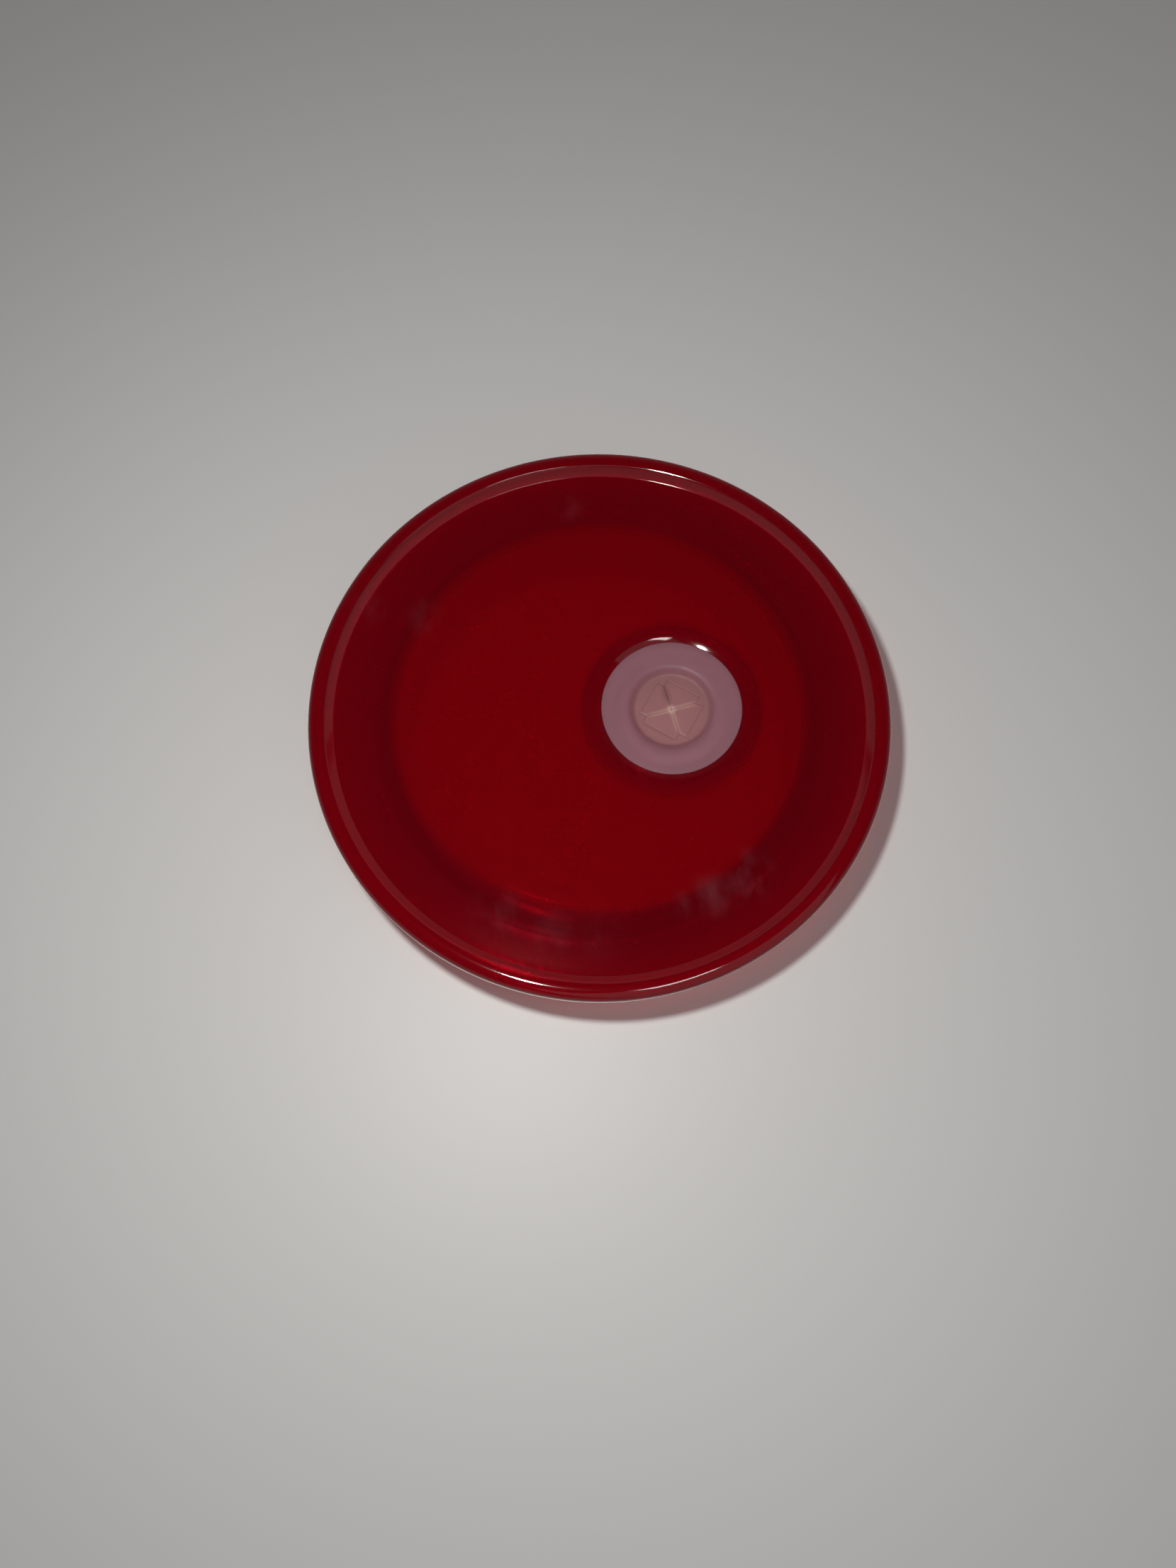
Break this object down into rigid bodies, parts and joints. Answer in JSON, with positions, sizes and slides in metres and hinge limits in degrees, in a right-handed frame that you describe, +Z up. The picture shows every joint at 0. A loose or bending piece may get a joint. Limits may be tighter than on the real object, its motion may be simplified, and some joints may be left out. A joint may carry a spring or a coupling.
{
  "type": "straw lid",
  "caption": "Round flat-topped drinking-cup lid with a raised rim, a plug ring with a sealing ring under it, and an off-centre silicone seal with a cross-slit membrane for a straw.",
  "frame": {"origin": "on the lid's axis, in the plane of the plug ring's foot, on which it stands", "axes": "+Z up along the lid's axis, +X from the lid's axis towards the straw port"},
  "size_m": [0.09, 0.09, 0.018],
  "materials": {
    "red_plastic": "polished translucent red",
    "ring_silicone": "frosted silicone",
    "pale_silicone": "frosted translucent silicone",
    "flap_silicone": "thin frosted translucent silicone"
  },
  "bodies": {
    "lid": {"lid_body": "red_plastic", "perimeter_gasket": "ring_silicone", "seal_grommet": "pale_silicone"},
    "flap_1": {"seal_flap_1": "flap_silicone"},
    "flap_2": {"seal_flap_2": "flap_silicone"},
    "flap_3": {"seal_flap_3": "flap_silicone"},
    "flap_4": {"seal_flap_4": "flap_silicone"}
  },
  "joints": [
    {"name": "flap_1_hinge", "type": "hinge", "parent": "lid", "child": "flap_1", "pos_m": [0.01317, 0.00296, 0.01465], "axis": [0.8453, -0.5344, 0], "range_deg": [-45, 80], "stiffness_Nm_per_rad": 0.001},
    {"name": "flap_2_hinge", "type": "hinge", "parent": "lid", "child": "flap_2", "pos_m": [0.00834, 0.00187, 0.01465], "axis": [0.5344, 0.8453, 0], "range_deg": [-45, 80], "stiffness_Nm_per_rad": 0.001},
    {"name": "flap_3_hinge", "type": "hinge", "parent": "lid", "child": "flap_3", "pos_m": [0.00943, -0.00296, 0.01465], "axis": [-0.8453, 0.5344, 0], "range_deg": [-45, 80], "stiffness_Nm_per_rad": 0.001},
    {"name": "flap_4_hinge", "type": "hinge", "parent": "lid", "child": "flap_4", "pos_m": [0.01426, -0.00187, 0.01465], "axis": [-0.5344, -0.8453, 0], "range_deg": [-45, 80], "stiffness_Nm_per_rad": 0.001}
  ],
  "couplings": [
    {"joint": "flap_2_hinge", "follows": "flap_1_hinge", "ratio": 1},
    {"joint": "flap_3_hinge", "follows": "flap_1_hinge", "ratio": 1},
    {"joint": "flap_4_hinge", "follows": "flap_1_hinge", "ratio": 1}
  ]
}
